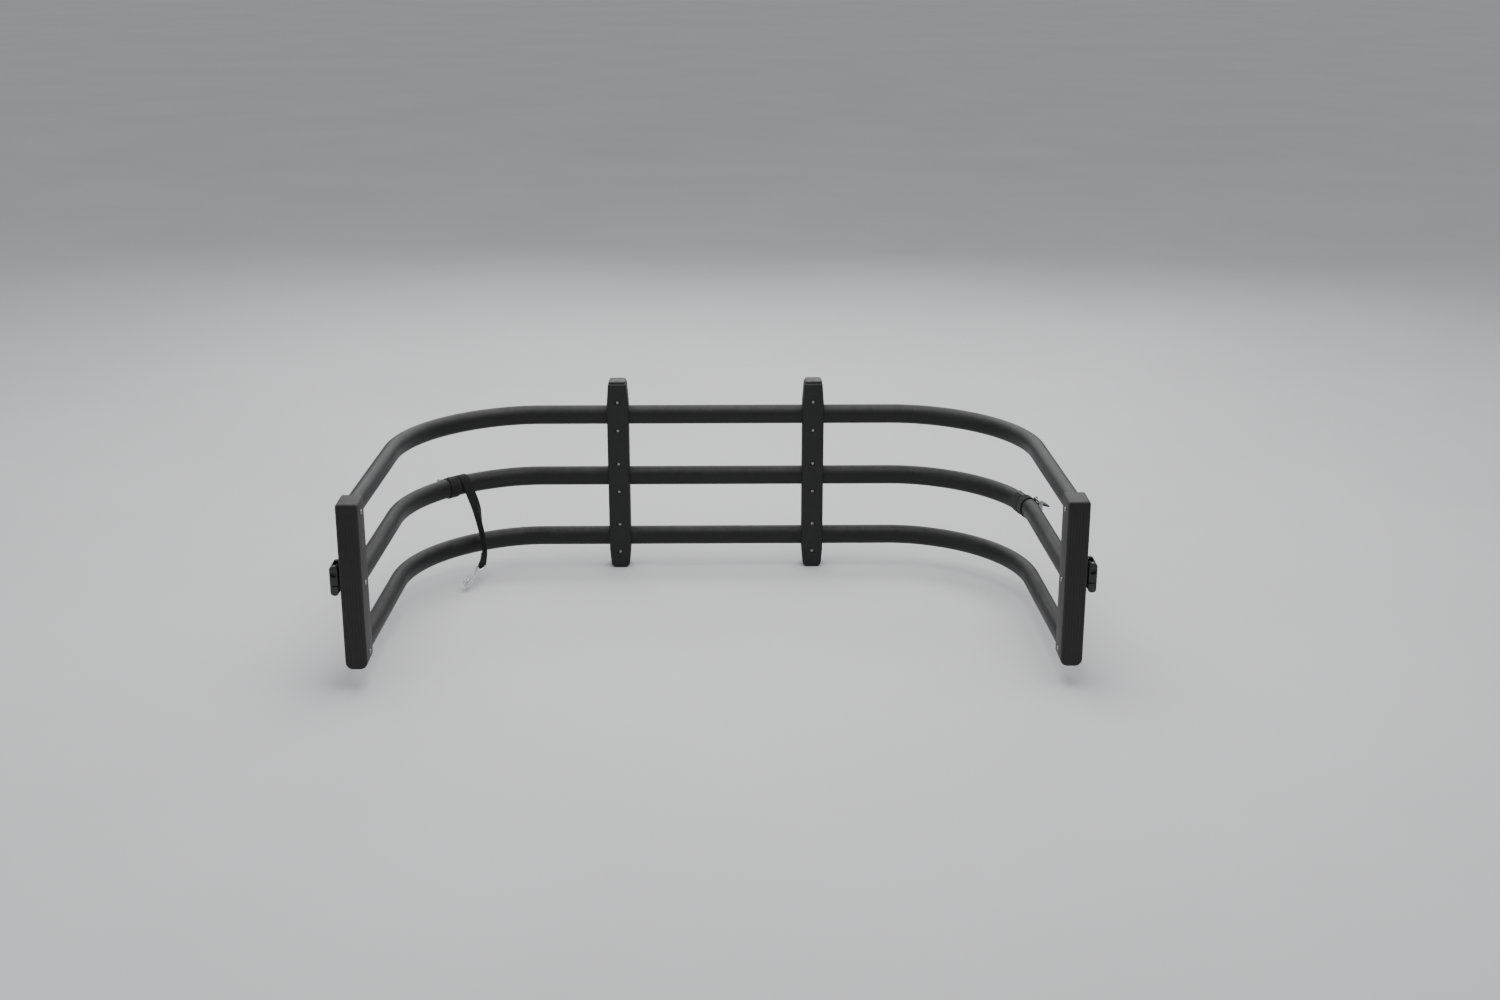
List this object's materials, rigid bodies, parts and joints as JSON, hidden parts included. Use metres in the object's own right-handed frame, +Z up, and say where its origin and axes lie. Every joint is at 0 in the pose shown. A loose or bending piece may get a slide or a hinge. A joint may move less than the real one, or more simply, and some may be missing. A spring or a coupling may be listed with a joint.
{
  "type": "pickup bed extender",
  "caption": "Pivoting U-shaped guard of bent oval tubes, clamped uprights and end posts that hangs between the walls of a pickup bed.",
  "frame": {"origin": "middle of the pivot line that joins the two wall brackets", "axes": "+X to the object's right seen from the tailgate, +Y the way the U reaches when stowed (towards the cab), +Z up"},
  "size_m": [1.532, 0.7736, 0.455],
  "materials": {
    "tube": "black powder coat, satin",
    "joiner": "mill",
    "upright": "fine moulded texture",
    "cap": "fine moulded texture",
    "lever": "moulded",
    "post": "dark powder coat, satin",
    "screw": "zinc",
    "stud": "zinc",
    "bracket": "black",
    "buckle": "zinc",
    "hook": "zinc",
    "webbing": "woven black"
  },
  "bodies": {
    "wall_brackets": {"bracket_left": "bracket", "bracket_right": "bracket"},
    "lever_left": {"buckle_lever_left": "lever"},
    "lever_right": {"buckle_lever_right": "lever"},
    "hook_left": {"strap_hook_left": "hook"},
    "hook_right": {"strap_hook_right": "hook"},
    "extender_frame": {"tube_top_centre": "tube", "tube_top_left": "tube", "tube_top_right": "tube", "tube_mid_centre": "tube", "tube_mid_left": "tube", "tube_mid_right": "tube", "tube_low_centre": "tube", "tube_low_left": "tube", "tube_low_right": "tube", "joiner_top_left": "joiner", "joiner_top_right": "joiner", "joiner_mid_left": "joiner", "joiner_mid_right": "joiner", "joiner_low_left": "joiner", "joiner_low_right": "joiner", "upright_left_rear": "upright", "upright_left_front": "upright", "upright_cap_left": "cap", "clamp_screw_left_1": "screw", "clamp_screw_left_2": "screw", "clamp_screw_left_3": "screw", "clamp_screw_left_4": "screw", "clamp_screw_left_5": "screw", "clamp_screw_left_6": "screw", "post_left": "post", "post_screw_left_1": "screw", "post_screw_left_2": "screw", "post_screw_left_3": "screw", "pivot_stud_left": "stud", "strap_loop_left": "webbing", "strap_webbing_left": "webbing", "buckle_left": "buckle", "upright_right_rear": "upright", "upright_right_front": "upright", "upright_cap_right": "cap", "clamp_screw_right_1": "screw", "clamp_screw_right_2": "screw", "clamp_screw_right_3": "screw", "clamp_screw_right_4": "screw", "clamp_screw_right_5": "screw", "clamp_screw_right_6": "screw", "post_right": "post", "post_screw_right_1": "screw", "post_screw_right_2": "screw", "post_screw_right_3": "screw", "pivot_stud_right": "stud", "strap_loop_right": "webbing", "strap_webbing_right": "webbing", "buckle_right": "buckle"}
  },
  "joints": [
    {"name": "flip", "type": "hinge", "parent": "wall_brackets", "child": "extender_frame", "pos_m": [0, 0, 0], "axis": [1, 0, 0], "range_deg": [0, 180]},
    {"name": "lever_left_open", "type": "hinge", "parent": "extender_frame", "child": "lever_left", "pos_m": [-0.63094, 0.64446, 0.008], "axis": [0.7088, 0.7054, 0], "range_deg": [0, 50], "stiffness_Nm_per_rad": 0.05, "springref_deg": -11.46},
    {"name": "lever_right_open", "type": "hinge", "parent": "extender_frame", "child": "lever_right", "pos_m": [0.72566, 0.47396, 0.008], "axis": [0.2244, -0.9745, 0], "range_deg": [0, 50], "stiffness_Nm_per_rad": 0.05, "springref_deg": -11.46},
    {"name": "hook_left_swing", "type": "hinge", "parent": "extender_frame", "child": "hook_left", "pos_m": [-0.54557, 0.60117, -0.1836], "axis": [-0.9021, 0.4171, -0.1109], "range_deg": [-70, 60]},
    {"name": "hook_right_swing", "type": "hinge", "parent": "extender_frame", "child": "hook_right", "pos_m": [0.71899, 0.50844, -0.01366], "axis": [-0.7103, -0.2281, 0.6659], "range_deg": [-55, 0]}
  ]
}
